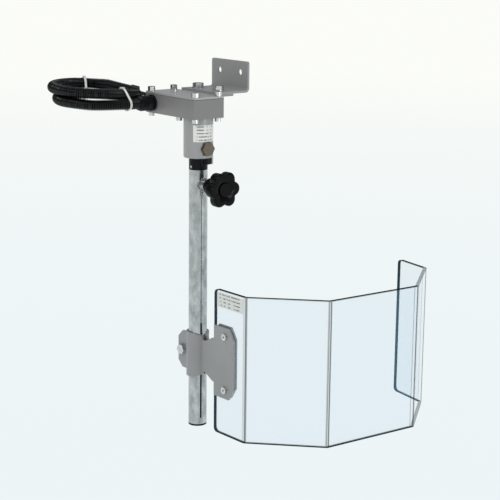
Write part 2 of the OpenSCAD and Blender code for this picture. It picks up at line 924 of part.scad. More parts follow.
module clamp_pad() {
    color([0.78, 0.62, 0.30]) at_knob() drill(stud_r - 0.5, shaft_d / 2 + pad_gap, pad_l);
}

module knob_stud() {
    stud_from = shaft_d / 2 + pad_gap + pad_l;
    color([0.76, 0.77, 0.78]) at_knob() drill(stud_r, stud_from, face_from + 8 - stud_from);
}

lobes = 6;
lobe_r = knob_d * 0.17;
scallop_r = knob_d * 0.15;

module knob_outline() {
    difference() {
        circle(d = knob_d - 3);
        for (i = [0:lobes - 1]) {
            rotate((i + 0.5) * 360 / lobes) translate([knob_d / 2 + scallop_r * 0.28, 0]) circle(r = scallop_r);
        }
    }
    for (i = [0:lobes - 1]) {
        rotate(i * 360 / lobes) translate([knob_d / 2 - lobe_r, 0]) circle(r = lobe_r);
    }
}

module clamping_knob() {
    color([0.05, 0.05, 0.05]) at_knob() difference() {
        union() {
            translate([0, 0, face_from]) linear_extrude(knob_t) rotate(25) knob_outline();
            drill(knob_d / 4, knob_from, knob_hub + eps);
        }
        drill(stud_r, knob_from - 1, knob_hub + 9);
        drill(cap_pocket_r, knob_to - cap_pocket_t, cap_pocket_t + 1);
    }
}

module knob_cap() {
    color([0.07, 0.07, 0.07]) at_knob() drill(cap_pocket_r, knob_to - cap_pocket_t, cap_pocket_t);
}

// ---- shield clamp ----

clamp_gap = sheet_t / 2;
ear_bolt_x = -(tube_d / 2 + ear_to + clamp_t) / 2;
plate_screw_x = (plate_from + plate_to) / 2 + 2.7;
chamfer_x = 10;
chamfer_z = 15;
ear_chamfer = 9;
screw_head_r = 4.75;
screw_head_h = 2.6;

// the half of the clamp on the -Y side, seen from above
module clamp_plan(to) {
    difference() {
        union() {
            translate([-ear_to, -clamp_gap - clamp_t]) square([ear_to + to, clamp_t]);
            intersection() {
                circle(r = tube_d / 2 + clamp_t);
                translate([-tube_d, -tube_d - clamp_gap]) square([2 * tube_d, tube_d]);
            }
        }
        circle(r = tube_d / 2);
    }
}

// outline of a clamp half seen from the front, upper half of it
function half_outline(to) = [
    [-ear_to, 0], [-ear_to, ear_h / 2 - ear_chamfer], [-ear_to + ear_chamfer, ear_h / 2],
    [-tube_d / 2 - clamp_t, ear_h / 2], [-tube_d / 2 - clamp_t, strap_h / 2], [2, strap_h / 2],
    for (a = [80:-20:0]) [2 + (tube_d / 2 + 3) * cos(a), waist_h / 2 + (strap_h - waist_h) / 2 * sin(a)],
    [tube_d / 2 + 11, waist_h / 2], [plate_from - 4, strap_h / 2 - 1],
    [plate_from, strap_h / 2], [plate_from, plate_h / 2],
    [to - chamfer_x, plate_h / 2], [to, plate_h / 2 - chamfer_z], [to, 0]];

module clamp_half(to) {
    upper = half_outline(to);
    lower = [for (i = [len(upper) - 2:-1:1]) [upper[i][0], -upper[i][1]]];
    difference() {
        intersection() {
            translate([0, 0, -plate_h]) linear_extrude(2 * plate_h) clamp_plan(to);
            rotate([90, 0, 0]) linear_extrude(tube_d) polygon(concat(upper, lower));
        }
        translate([ear_bolt_x, 0, 0]) rotate([90, 0, 0]) cylinder(r = m8_r, h = tube_d);
        for (s = [-0.5, 0.5]) {
            translate([plate_screw_x, 0, s * plate_screw_gap]) rotate([90, 0, 0]) cylinder(r = m5_r, h = tube_d);
        }
    }
}

module clamp_front() {
    color([0.57, 0.58, 0.59]) at_guard(clamp_z) clamp_half(plate_to);
}

module clamp_rear() {
    color([0.54, 0.55, 0.56]) at_guard(clamp_z) mirror([0, 1, 0]) clamp_half(rear_to);
}

clamp_face = clamp_gap + clamp_t;

module clamp_bolt() {
    color([0.78, 0.79, 0.80]) at_guard(clamp_z) translate([ear_bolt_x, -clamp_face, 0]) rotate([90, 0, 0])
        hex_bolt(m8_r, m8_af, m8_head, 2 * clamp_face + m8_nut + 2);
}

module clamp_nut() {
    color([0.76, 0.77, 0.78]) at_guard(clamp_z) translate([ear_bolt_x, clamp_face + m8_nut, 0])
        rotate([90, 0, 0]) difference() {
            hex(m8_af, m8_nut);
            drill(m8_r, -1, m8_nut + 2);
        }
}

m5_nut = 4;

module at_plate_screws(y) {
    at_guard(clamp_z) for (s = [-0.5, 0.5]) {
        translate([plate_screw_x, y, s * plate_screw_gap]) rotate([90, 0, 0]) children();
    }
}

module plate_screws() {
    color([0.80, 0.81, 0.82]) at_plate_screws(-clamp_face) difference() {
        union() {
            cylinder(r = screw_head_r, h = screw_head_h);
            drill(m5_r, -2 * clamp_face - m5_nut - 1, 2 * clamp_face + m5_nut + 1 + eps);
        }
        translate([0, 0, screw_head_h - 1.6]) hex(3, 2);
    }
}

module plate_nuts() {
    color([0.78, 0.79, 0.80]) at_plate_screws(clamp_face + m5_nut) difference() {
        hex(m5_af, m5_nut);
        drill(m5_r, -1, m5_nut + 2);
    }
}

// ---- shield ----

facets = [side_l, front_l, middle_l, front_l, side_l];
fold_steps = 4;
mid_r = fold_r - sheet_t / 2;

function dir(a) = [cos(a), sin(a)];
// start of facet i, along the middle of the sheet
function facet_start(i) =
    i == 0 ? [shield_from, 0] : facet_start(i - 1) + facets[i - 1] * dir((i - 1) * bend_angle);
// points round fold i, at distance r from the fold's centre
function fold_arc(i, r) =
    let (c = facet_start(i) + mid_r / cos(bend_angle / 2) * dir((i - 0.5) * bend_angle + 90))
    [for (k = [0:fold_steps]) c + r * dir((i - 1 + k / fold_steps) * bend_angle - 90)];

function shield_outline() =
    let (last = len(facets), end = facet_start(last), h = sheet_t / 2, turn = (last - 1) * bend_angle)
    concat([facet_start(0) - [0, h]],
           [for (i = [1:last - 1]) each fold_arc(i, fold_r)],
           [end + h * dir(turn - 90), end + h * dir(turn + 90)],
           [for (i = [last - 1:-1:1], k = [fold_steps:-1:0]) fold_arc(i, fold_r - sheet_t)[k]],
           [facet_start(0) + [0, h]]);

module free_corners(s) {
    for (m = [0, 1]) {
        translate([0, 0, shield_h / 2]) mirror([0, 0, m]) translate([0, sheet_t, shield_h / 2])
            rotate([90, 0, 0]) corner_cut(corner_r, 2 * sheet_t, s);
    }
}

module shield() {
    far = facet_start(len(facets));
    color([0.80, 0.90, 0.96, 0.45]) at_guard(shield_z) difference() {
        linear_extrude(shield_h) polygon(shield_outline());
        translate([shield_from, 0, 0]) free_corners(-1);
        translate([far[0], far[1], 0]) rotate((len(facets) - 1) * bend_angle) free_corners(1);
        for (s = [-0.5, 0.5]) {
            translate([plate_screw_x, 0, clamp_up + s * plate_screw_gap]) rotate([90, 0, 0])
                cylinder(r = m5_r + 0.3, h = 2 * sheet_t, center = true);
        }
    }
}

sticker_w = 54;
sticker_h = 20;
sticker_in = 6;
sticker_drop = 3;

module shield_label() {
    color([0.92, 0.92, 0.90])
        at_guard(shield_z + shield_h - sticker_drop - sticker_h)
            translate([shield_from + sticker_in, -sheet_t / 2 - label_t, 0])
                cube([sticker_w, label_t, sticker_h]);
}

mounting_bracket();
foot_bolts();
foot_washers();
foot_nuts();
support_angle();
support_screws();
box_body();
box_lid();
lid_gasket();
lid_screws();
base_plate();
base_screws();
turret();
turret_screws();
rating_label();
upper_bush();
lower_bush();
retaining_plug();
plug_spring();
plug_ball();
microswitch();
switch_screws();
switch_plunger();
gland_body();
gland_seal();
gland_cap();
conduit_lead();
conduit_coil();
conduit_tail();
conduit_ferrule();
cable_tail();
cable_ties();
swivel_shaft();
cam();
cam_bolt();
stop_bush();
stop_pin();
guide_pin();
guard_tube();
tube_plug();
knob_boss();
clamp_pad();
knob_stud();
clamping_knob();
knob_cap();
clamp_front();
clamp_rear();
clamp_bolt();
clamp_nut();
plate_screws();
plate_nuts();
shield();
shield_label();
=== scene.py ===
import math

import bmesh
import bpy
from mathutils import Matrix, Vector


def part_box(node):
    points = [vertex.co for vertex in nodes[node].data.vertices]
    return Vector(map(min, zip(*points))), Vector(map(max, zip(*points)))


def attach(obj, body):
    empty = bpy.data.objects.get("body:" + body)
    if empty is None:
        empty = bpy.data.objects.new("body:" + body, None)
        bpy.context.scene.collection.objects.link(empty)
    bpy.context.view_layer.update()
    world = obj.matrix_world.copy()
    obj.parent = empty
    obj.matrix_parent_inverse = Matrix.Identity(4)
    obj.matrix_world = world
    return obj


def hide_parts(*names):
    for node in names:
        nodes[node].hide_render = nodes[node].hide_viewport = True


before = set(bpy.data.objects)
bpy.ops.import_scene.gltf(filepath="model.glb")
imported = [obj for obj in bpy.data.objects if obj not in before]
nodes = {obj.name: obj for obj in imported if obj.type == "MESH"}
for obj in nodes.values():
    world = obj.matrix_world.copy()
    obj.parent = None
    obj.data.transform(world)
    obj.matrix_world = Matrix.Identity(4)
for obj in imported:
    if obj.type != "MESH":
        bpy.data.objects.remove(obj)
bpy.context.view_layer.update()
scene = bpy.context.scene


def middle(low, high):
    return (low + high) / 2


tubeLow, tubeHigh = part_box("guard_tube")
pivot = Vector((middle(tubeLow.x, tubeHigh.x), middle(tubeLow.y, tubeHigh.y), 0))      # the guard's axis
shieldLow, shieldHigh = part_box("shield")

cameraSetup = {
    "place": (1.5351, -1.1995, 0.18435),
    "heading": 51.167,      # degrees, anticlockwise from +Y
    "down": 12.565,
    "roll": 0.642,
    "lens": 102.676,        # mm, on a sensor 36 mm wide
    "sensor": 36,
    "clip": (0.05, 30),
}


def makeCamera(setup):
    data = bpy.data.cameras.new("camera")
    data.sensor_width = setup["sensor"]
    data.lens = setup["lens"]
    data.clip_start, data.clip_end = setup["clip"]
    camera = bpy.data.objects.new("camera", data)
    scene.collection.objects.link(camera)
    a, d = math.radians(setup["heading"]), math.radians(setup["down"])
    ahead = Vector((-math.sin(a) * math.cos(d), math.cos(a) * math.cos(d), -math.sin(d)))
    roll = Matrix.Rotation(math.radians(setup["roll"]), 4, "Z")
    turn = ahead.to_track_quat("-Z", "Y").to_matrix().to_4x4() @ roll
    camera.matrix_world = Matrix.Translation(setup["place"]) @ turn
    scene.camera = camera


makeCamera(cameraSetup)
print("camera placed")


def newMaterial(name):
    material = bpy.data.materials.new(name)
    material.use_nodes = True
    tree = material.node_tree
    return material, tree, tree.nodes["Principled BSDF"]


def noiseAt(tree, scale, detail=3.0, stretch=(1, 1, 1), rough=0.5):
    coords = tree.nodes.new("ShaderNodeTexCoord")
    mapping = tree.nodes.new("ShaderNodeMapping")
    mapping.inputs["Scale"].default_value = stretch
    noise = tree.nodes.new("ShaderNodeTexNoise")
    noise.inputs["Scale"].default_value = scale
    noise.inputs["Detail"].default_value = detail
    noise.inputs["Roughness"].default_value = rough
    tree.links.new(coords.outputs["Object"], mapping.inputs["Vector"])
    tree.links.new(mapping.outputs["Vector"], noise.inputs["Vector"])
    return noise


def ramp(tree, source, stops):
    node = tree.nodes.new("ShaderNodeValToRGB")
    elements = node.color_ramp.elements
    while len(elements) < len(stops):
        elements.new(0.5)
    for element, (at, colour) in zip(elements, stops):
        element.position = at
        element.color = (*colour, 1) if len(colour) == 3 else colour
    tree.links.new(source, node.inputs["Fac"])
    return node


def tint(tree, shader, source, stops):
    tree.links.new(ramp(tree, source, stops).outputs["Color"], shader.inputs["Base Color"])


def varyRoughness(tree, shader, source, low, high):
    node = tree.nodes.new("ShaderNodeMapRange")
    node.inputs["To Min"].default_value = low
    node.inputs["To Max"].default_value = high
    tree.links.new(source, node.inputs["Value"])
    tree.links.new(node.outputs["Result"], shader.inputs["Roughness"])


def times(colour, factor):
    return tuple(min(1, c * factor) for c in colour)


def bump(tree, shader, height, distance, strength):
    node = tree.nodes.new("ShaderNodeBump")
    node.inputs["Distance"].default_value = distance
    node.inputs["Strength"].default_value = strength
    tree.links.new(height, node.inputs["Height"])
    tree.links.new(node.outputs["Normal"], shader.inputs["Normal"])


def mathNode(tree, operation, a, b=None):
    node = tree.nodes.new("ShaderNodeMath")
    node.operation = operation
    for socket, value in zip(node.inputs, (a, b)):
        if value is None:
            continue
        if isinstance(value, (int, float)):
            socket.default_value = value
        else:
            tree.links.new(value, socket)
    return node.outputs["Value"]


def grey(value, warm):
    return (value * (1 + warm), value, value * (1 - warm))


def paintedSteel(name, shade, rough, warm=0.0):
    material, tree, shader = newMaterial(name)
    broad = noiseAt(tree, 14, 2)
    dark, light = grey(shade * 0.94, warm), grey(shade * 1.06, warm)
    tint(tree, shader, broad.outputs["Fac"], [(0.3, dark), (0.7, light)])
    peel = noiseAt(tree, 900, 2)           # the fine orange peel of sprayed paint
    varyRoughness(tree, shader, peel.outputs["Fac"], rough - 0.06, rough + 0.06)
    bump(tree, shader, peel.outputs["Fac"], 0.00003, 0.35)
    shader.inputs["Metallic"].default_value = 0.15
    return material


def zincPlate(name, shade, rough, mottle, contrast, stretch=(1, 1, 1)):
    material, tree, shader = newMaterial(name)
    cloud = noiseAt(tree, mottle, 5, stretch, 0.62)
    dark = [shade * (1 - contrast * part) for part in (1, 0.9, 0.9)]
    light = [shade * (1 + contrast * part) for part in (0.7, 0.8, 0.8)]
    tint(tree, shader, cloud.outputs["Fac"], [(0.32, dark), (0.68, light)])
    varyRoughness(tree, shader, cloud.outputs["Fac"], rough - 0.08, rough + 0.1)
    bump(tree, shader, noiseAt(tree, 700, 2).outputs["Fac"], 0.00002, 0.4)
    shader.inputs["Metallic"].default_value = 1.0
    return material


def mouldedPlastic(name, colour, rough, grain=1500, depth=0.00002, shine=0.14):
    material, tree, shader = newMaterial(name)
    shader.inputs["Specular IOR Level"].default_value = shine
    cloud = noiseAt(tree, 40, 3)
    tint(tree, shader, cloud.outputs["Fac"], [(0.35, times(colour, 0.85)), (0.65, times(colour, 1.15))])
    fine = noiseAt(tree, grain, 2)
    varyRoughness(tree, shader, fine.outputs["Fac"], rough - 0.05, rough + 0.08)
    bump(tree, shader, fine.outputs["Fac"], depth, 0.4)
    return material


def machinedMetal(name, colour, rough):
    material, tree, shader = newMaterial(name)
    turned = noiseAt(tree, 500, 2, (1, 1, 6))
    tint(tree, shader, turned.outputs["Fac"], [(0.35, times(colour, 0.85)), (0.65, times(colour, 1.1))])
    varyRoughness(tree, shader, turned.outputs["Fac"], rough - 0.06, rough + 0.1)
    shader.inputs["Metallic"].default_value = 1.0
    return material


def clearSheet(name, colour, alpha, rough, shine):
    material, tree, shader = newMaterial(name)
    cloud = noiseAt(tree, 6, 1)
    tint(tree, shader, cloud.outputs["Fac"], [(0.3, times(colour, 0.985)), (0.7, colour)])
    shader.inputs["Roughness"].default_value = rough
    shader.inputs["Specular IOR Level"].default_value = shine
    shader.inputs["Alpha"].default_value = alpha
    return material


def printedLabel(name, axis, low, high, rows):
    # rows of short grey dashes, which stop short of the label's edges
    material, tree, shader = newMaterial(name)
    black, white = (0, 0, 0), (1, 1, 1)
    coords = tree.nodes.new("ShaderNodeTexCoord")
    split = tree.nodes.new("ShaderNodeSeparateXYZ")
    tree.links.new(coords.outputs["Object"], split.inputs["Vector"])
    height = tree.nodes.new("ShaderNodeMapRange")
    height.inputs["From Min"].default_value, height.inputs["From Max"].default_value = low[1], high[1]
    height.inputs["To Max"].default_value = rows
    tree.links.new(split.outputs["Z"], height.inputs["Value"])
    part = mathNode(tree, "FRACT", height.outputs["Result"])
    inRow = ramp(tree, part,
                 [(0.0, black), (0.34, black), (0.42, white), (0.68, white), (0.76, black)])
    dash = noiseAt(tree, 420, 1, (1, 1, 0.12))
    cut = ramp(tree, dash.outputs["Fac"], [(0.46, black), (0.54, white)])
    across = tree.nodes.new("ShaderNodeMapRange")
    across.inputs["From Min"].default_value, across.inputs["From Max"].default_value = low[0], high[0]
    tree.links.new(split.outputs[axis], across.inputs["Value"])
    inside = ramp(tree, across.outputs["Result"], [(0.08, black), (0.12, white), (0.86, white), (0.9, black)])
    dashes = mathNode(tree, "MULTIPLY", inRow.outputs["Color"], cut.outputs["Color"])
    mask = mathNode(tree, "MULTIPLY", dashes, inside.outputs["Color"])
    tint(tree, shader, mask, [(0.2, (0.83, 0.83, 0.79)), (0.8, (0.22, 0.22, 0.21))])
    shader.inputs["Roughness"].default_value = 0.45
    return material


paint = {
    "box": paintedSteel("boxPaint", 0.25, 0.40, 0.02),
    # the lid's grey, near twice the box's, is painted light: it puts the bright light on the lid's top into
    # its colour
    "lid": paintedSteel("lidPaintLit", 0.46, 0.22),
    "turret": paintedSteel("turretPaint", 0.36, 0.34),
    "clamp": paintedSteel("clampPaint", 0.34, 0.38),
    "bracket": paintedSteel("bracketPaint", 0.34, 0.38),
    "support": paintedSteel("supportPaint", 0.30, 0.40),
    "screws": zincPlate("screwZinc", 0.62, 0.14, 200, 0.16),
    "tube": zincPlate("tubeZinc", 0.47, 0.24, 110, 0.36, (1, 1, 0.5)),
    "boss": zincPlate("bossZinc", 0.40, 0.28, 160, 0.25),
    "steel": machinedMetal("groundSteel", (0.60, 0.61, 0.62), 0.25),
    "bronze": machinedMetal("bearingBronze", (0.55, 0.35, 0.18), 0.30),
    "plug": machinedMetal("plugBronze", (0.17, 0.145, 0.115), 0.28),
    "brass": machinedMetal("camBrass", (0.60, 0.45, 0.22), 0.28),
    "gland": mouldedPlastic("glandNylon", (0.006, 0.006, 0.007), 0.28),
    "conduit": mouldedPlastic("conduitNylon", (0.002, 0.002, 0.0025), 0.20, 900, 0.00001, 0.30),
    "knob": mouldedPlastic("knobPlastic", (0.002, 0.002, 0.002), 0.20, 1500, 0.00001, 0.12),
    "stop": mouldedPlastic("stopNylon", (0.005, 0.005, 0.006), 0.30),
    "cable": mouldedPlastic("cableSheath", (0.010, 0.010, 0.010), 0.45),
    "tie": mouldedPlastic("tieNylon", (0.78, 0.78, 0.75), 0.40),
    "rubber": mouldedPlastic("sealRubber", (0.16, 0.16, 0.165), 0.7),
    "switch": mouldedPlastic("switchCase", (0.02, 0.02, 0.025), 0.35),
    "plunger": mouldedPlastic("plungerRed", (0.55, 0.04, 0.03), 0.3),
    "sheet": clearSheet("clearSheet", (0.34, 0.66, 0.90), 0.075, 0.04, 0.3),
    # painted shade for the clear sheet: the dark, partly opaque looks below stand in for the light the sheet
    # bends away at its cut edges, the strips along them and its folds
    "sheetEdgeShade": clearSheet("sheetEdgeShade", (0.004, 0.005, 0.005), 1.0, 0.6, 0.03),
    "sheetFoldShade": clearSheet("sheetFoldShade", (0.10, 0.14, 0.16), 0.30, 0.2, 0.15),
    "sheetCreaseShade": clearSheet("sheetCreaseShade", (0.004, 0.006, 0.006), 0.80, 0.4, 0.05),
    "sheetRimShade": clearSheet("sheetRimShade", (0.004, 0.005, 0.005), 0.60, 0.5, 0.04),
    "sheetPaleEdgeShade": clearSheet("sheetPaleEdgeShade", (0.05, 0.06, 0.065), 0.60, 0.5, 0.05),
}
print("finishes made")

cadLooks = {
    "box": ["box_body", "base_plate"],
    "turret": ["turret"],
    "lid": ["box_lid"],
    "support": ["support_angle"],
    "bracket": ["mounting_bracket"],
    "screws": ["foot_bolts", "foot_washers", "foot_nuts", "support_screws", "turret_screws", "cam_bolt",
               "switch_screws", "clamp_bolt", "clamp_nut", "plate_nuts", "plate_screws", "lid_screws",
               "base_screws"],
    "rubber": ["lid_gasket", "gland_seal"],
    "bronze": ["upper_bush", "lower_bush"],
    "plug": ["retaining_plug"],
    "steel": ["plug_spring", "plug_ball", "stop_pin", "guide_pin", "swivel_shaft", "knob_stud"],
    "switch": ["microswitch"],
    "plunger": ["switch_plunger"],
    "gland": ["gland_body", "gland_cap", "conduit_ferrule"],
    "cable": ["cable_tail"],
    "brass": ["cam", "clamp_pad"],
    "stop": ["stop_bush", "tube_plug"],
    "tube": ["guard_tube"],
    "boss": ["knob_boss"],
    "clamp": ["clamp_front", "clamp_rear"],
    "knob": ["knob_cap"],
}
labels = {                 # the side each label runs along and its rows of dashes
    "rating_label": {"axis": "Y", "rows": 5},
    "shield_label": {"axis": "X", "rows": 4},
}


def dress(name, material):
    mesh = nodes[name].data
    mesh.materials.clear()
    mesh.materials.append(material)


for finish, names in cadLooks.items():
    for name in names:
        dress(name, paint[finish])
for name, label in labels.items():
    low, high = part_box(name)
    side = "XYZ".index(label["axis"])
    corners = (low[side], low.z), (high[side], high.z)
    dress(name, printedLabel(name + "Print", label["axis"], *corners, label["rows"]))

edges = {                  # how far each part's sharp edges are eased
    0.0003: ["base_screws", "clamp_bolt", "plate_screws"],
    0.0004: ["box_lid", "base_plate", "mounting_bracket", "support_angle", "clamp_front", "clamp_rear",
             "lid_screws", "foot_bolts", "stop_bush", "conduit_ferrule"],
    0.0005: ["retaining_plug", "gland_body", "gland_cap"],
    0.0006: ["turret"],
    0.0007: ["box_body"],
}
for width, names in edges.items():
    for name in names:
        modifier = nodes[name].modifiers.new("edge", "BEVEL")
        modifier.width, modifier.segments = width, 2
        modifier.limit_method, modifier.angle_limit = "ANGLE", math.radians(38)
        modifier.harden_normals = False
print("edges eased")


def addPiece(name, mesh, body, smooth, finish=None):
    piece = bpy.data.objects.new(name, mesh)
    scene.collection.objects.link(piece)
    if finish:
        mesh.materials.append(finish)
    mesh.shade_smooth()
    mesh.set_sharp_from_angle(angle=math.radians(smooth))
    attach(piece, body)
    return piece


def meshFrom(name, points, faces):
    mesh = bpy.data.meshes.new(name)
    mesh.from_pydata([tuple(p) for p in points], [], faces)
    work = bmesh.new()
    work.from_mesh(mesh)
    bmesh.ops.remove_doubles(work, verts=work.verts, dist=1e-7)
    bmesh.ops.recalc_face_normals(work, faces=work.faces)
    work.to_mesh(mesh)
    work.free()
    return mesh


def nodeMesh(name, tree, source, settings):
    holder = bpy.data.objects.new(name + "Holder", source)
    scene.collection.objects.link(holder)
    modifier = holder.modifiers.new("build", "NODES")
    modifier.node_group = tree
    for item in tree.interface.items_tree:
        if item.item_type == "SOCKET" and item.in_out == "INPUT" and item.name in settings:
            modifier[item.identifier] = settings[item.name]
    bpy.context.view_layer.update()
    graph = bpy.context.evaluated_depsgraph_get()
    mesh = bpy.data.meshes.new_from_object(holder.evaluated_get(graph))
    mesh.name = name
    holder.modifiers.remove(modifier)
    bpy.data.objects.remove(holder)
    return mesh


def newTree(name, inputs):
    tree = bpy.data.node_groups.new(name, "GeometryNodeTree")
    tree.interface.new_socket("Geometry", in_out="INPUT", socket_type="NodeSocketGeometry")
    for label, kind, value in inputs:
        socket = tree.interface.new_socket(label, in_out="INPUT", socket_type=kind)
        if value is not None:
            socket.default_value = value
    tree.interface.new_socket("Geometry", in_out="OUTPUT", socket_type="NodeSocketGeometry")
    return tree, tree.nodes.new("NodeGroupInput"), tree.nodes.new("NodeGroupOutput")


def endTree(tree, outputNode, geometry, materialSocket):
    realize = tree.nodes.new("GeometryNodeRealizeInstances")
    dress = tree.nodes.new("GeometryNodeSetMaterial")
    tree.links.new(geometry, realize.inputs["Geometry"])
    tree.links.new(realize.outputs["Geometry"], dress.inputs["Geometry"])
    tree.links.new(materialSocket, dress.inputs["Material"])
    tree.links.new(dress.outputs["Geometry"], outputNode.inputs[0])


conduit = {
    "radius": 0.0075,
    "ribDepth": 0.0013,
    "ribPitch": 0.0030,
    "sides": 20,
    "coilRadius": 0.054,
    "rise": 0.0142,
    "endRise": 0.0028,
    "leadTurn": -30,                 # degrees round the coil where the lead joins it
    "tailAt": 130,
    "climb": (-215, -385),           # where the lower turn rises to the upper one, clockwise
    "endClimb": (-545, -585),        # where the tail's end rises a little more
    "tailDip": 12,
    "tailLength": 0.044,
    "leadPoints": 16,
    "pointsPerTurn": 40,
    "tailPoints": 6,
    "lean": 0.0052,                  # the side away from the gland lies this much higher
    "leanTo": 205,
    "leanFades": ((-590, -545), (-30, -65)),
    "radii": ((-30, 0.0), (-70, 0.001), (-130, -0.0042), (-200, -0.002), (-250, 0.002), (-310, 0.0035),
              (-390, 0.0), (-440, 0.0015), (-490, 0.0028), (-540, 0.002), (-590, 0.0)),
}


def smoothStep(t):
    t = max(0.0, min(1.0, t))
    return t * t * (3 - 2 * t)


def between(table, at):
    for (a, low), (b, high) in zip(table, table[1:]):
        if a >= at >= b:
            return low + (high - low) * smoothStep((a - at) / (a - b))
    return 0.0


def stepAlong(at, limits):
    return smoothStep((at - limits[0]) / (limits[1] - limits[0]))


def conduitRoute(c):
    coilLow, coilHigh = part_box("conduit_coil")
    centre = Vector((middle(coilLow.x, coilHigh.x), middle(coilLow.y, coilHigh.y), coilLow.z + c["radius"]))
    capLow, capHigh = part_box("gland_cap")
    mouth = Vector((middle(capLow.x, capHigh.x), capLow.y, middle(capLow.z, capHigh.z)))

    def onCoil(degrees):
        a = math.radians(degrees)
        fade = stepAlong(degrees, c["leanFades"][0]) * stepAlong(degrees, c["leanFades"][1])
        lift = c["lean"] * (1 + math.cos(a - math.radians(c["leanTo"]))) / 2 * fade
        rise = c["rise"] * stepAlong(degrees, c["climb"]) + c["endRise"] * stepAlong(degrees, c["endClimb"])
        r = c["coilRadius"] + between(c["radii"], degrees)
        return centre + Vector((r * math.cos(a), r * math.sin(a), rise + lift))

    join = math.radians(c["leadTurn"])
    start = onCoil(c["leadTurn"])
    reach = (mouth.y - start.y) / 3
    second = mouth - Vector((0, reach, 0))
    third = start - reach * Vector((math.sin(join), -math.cos(join), 0))
    route = []
    for i in range(c["leadPoints"]):                 # a Bezier curve, straight out of the gland
        t = i / c["leadPoints"]
        near = (1 - t) ** 3 * mouth + 3 * t * (1 - t) ** 2 * second
        route.append(near + 3 * t * t * (1 - t) * third + t ** 3 * start)
    end = c["tailAt"] - 720
    steps = round((c["leadTurn"] - end) / 360 * c["pointsPerTurn"])
    route += [onCoil(c["leadTurn"] + (end - c["leadTurn"]) * i / steps) for i in range(steps + 1)]
    dip, along = math.radians(c["tailDip"]), math.radians(c["tailAt"])
    heading = Vector((math.sin(along) * math.cos(dip), -math.cos(along) * math.cos(dip), -math.sin(dip)))
    tail, count = route[-1], c["tailPoints"]
    route += [tail + heading * c["tailLength"] * i / count for i in range(1, count + 1)]
    return route, mouth, centre


def routeCurve(name, points):
    curve = bpy.data.curves.new(name, "CURVE")
    curve.dimensions = "3D"
    spline = curve.splines.new("POLY")
    spline.points.add(len(points) - 1)
    for target, p in zip(spline.points, points):
        target.co = (*p, 1)
    return curve


def ribTree():
    tree, given, out = newTree("ribbedHose", [
        ("Radius", "NodeSocketFloat", 0.0075), ("Rib depth", "NodeSocketFloat", 0.0013),
        ("Rib pitch", "NodeSocketFloat", 0.0030), ("Sides", "NodeSocketInt", 20),
        ("Material", "NodeSocketMaterial", None)])
    resample = tree.nodes.new("GeometryNodeResampleCurve")
    resample.mode = "LENGTH"
    tree.links.new(given.outputs["Geometry"], resample.inputs["Curve"])
    tree.links.new(mathNode(tree, "DIVIDE", given.outputs["Rib pitch"], 6.0), resample.inputs["Length"])
    place = tree.nodes.new("GeometryNodeSplineParameter")
    turns = mathNode(tree, "DIVIDE", place.outputs["Length"], given.outputs["Rib pitch"])
    wave = mathNode(tree, "COSINE", mathNode(tree, "MULTIPLY", turns, 2 * math.pi))
    upright = mathNode(tree, "ADD", mathNode(tree, "MULTIPLY", wave, 0.5), 0.5)
    shaped = mathNode(tree, "POWER", upright, 0.7)           # crowns wider than the grooves
    groove = mathNode(tree, "MULTIPLY", mathNode(tree, "SUBTRACT", 1.0, shaped), given.outputs["Rib depth"])
    width = mathNode(tree, "SUBTRACT", given.outputs["Radius"], groove)
    profile = tree.nodes.new("GeometryNodeCurvePrimitiveCircle")
    profile.inputs["Radius"].default_value = 1.0
    tree.links.new(given.outputs["Sides"], profile.inputs["Resolution"])
    sweep = tree.nodes.new("GeometryNodeCurveToMesh")
    sweep.inputs["Fill Caps"].default_value = True
    tree.links.new(resample.outputs["Curve"], sweep.inputs["Curve"])
    tree.links.new(profile.outputs["Curve"], sweep.inputs["Profile Curve"])
    tree.links.new(width, sweep.inputs["Scale"])
    endTree(tree, out, sweep.outputs["Mesh"], given.outputs["Material"])
    return tree


route, mouth, coilCentre = conduitRoute(conduit)
conduitMesh = nodeMesh("conduitRibbed", ribTree(), routeCurve("conduitRoute", route), {
    "Radius": conduit["radius"], "Rib depth": conduit["ribDepth"], "Rib pitch": conduit["ribPitch"],
    "Sides": conduit["sides"], "Material": paint["conduit"]})
conduitPiece = addPiece("conduitRibbed", conduitMesh, "head", 60)
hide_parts("conduit_lead", "conduit_coil", "conduit_tail")
routeLength = sum((b - a).length for a, b in zip(route, route[1:]))
print("conduit made,", round(routeLength, 3), "m,", len(conduitMesh.polygons), "faces")


gland = {"ribs": 20, "ribRadius": 0.0009, "ribLength": 0.0078, "sunk": 0.0004, "fromEnd": 0.0006}


def gripTree():
    tree, given, out = newTree("gripRibs", [
        ("Ribs", "NodeSocketInt", 20), ("Ring radius", "NodeSocketFloat", 0.0098),
        ("Rib radius", "NodeSocketFloat", 0.0009), ("Rib length", "NodeSocketFloat", 0.0078),
        ("Material", "NodeSocketMaterial", None)])
    ring = tree.nodes.new("GeometryNodeMeshCircle")
    tree.links.new(given.outputs["Ribs"], ring.inputs["Vertices"])
    tree.links.new(given.outputs["Ring radius"], ring.inputs["Radius"])
    rib = tree.nodes.new("GeometryNodeMeshCylinder")
    rib.inputs["Vertices"].default_value = 10
    tree.links.new(given.outputs["Rib radius"], rib.inputs["Radius"])
    tree.links.new(given.outputs["Rib length"], rib.inputs["Depth"])
    scatter = tree.nodes.new("GeometryNodeInstanceOnPoints")
    tree.links.new(ring.outputs["Mesh"], scatter.inputs["Points"])
    tree.links.new(rib.outputs["Mesh"], scatter.inputs["Instance"])
    endTree(tree, out, scatter.outputs["Instances"], given.outputs["Material"])
    return tree


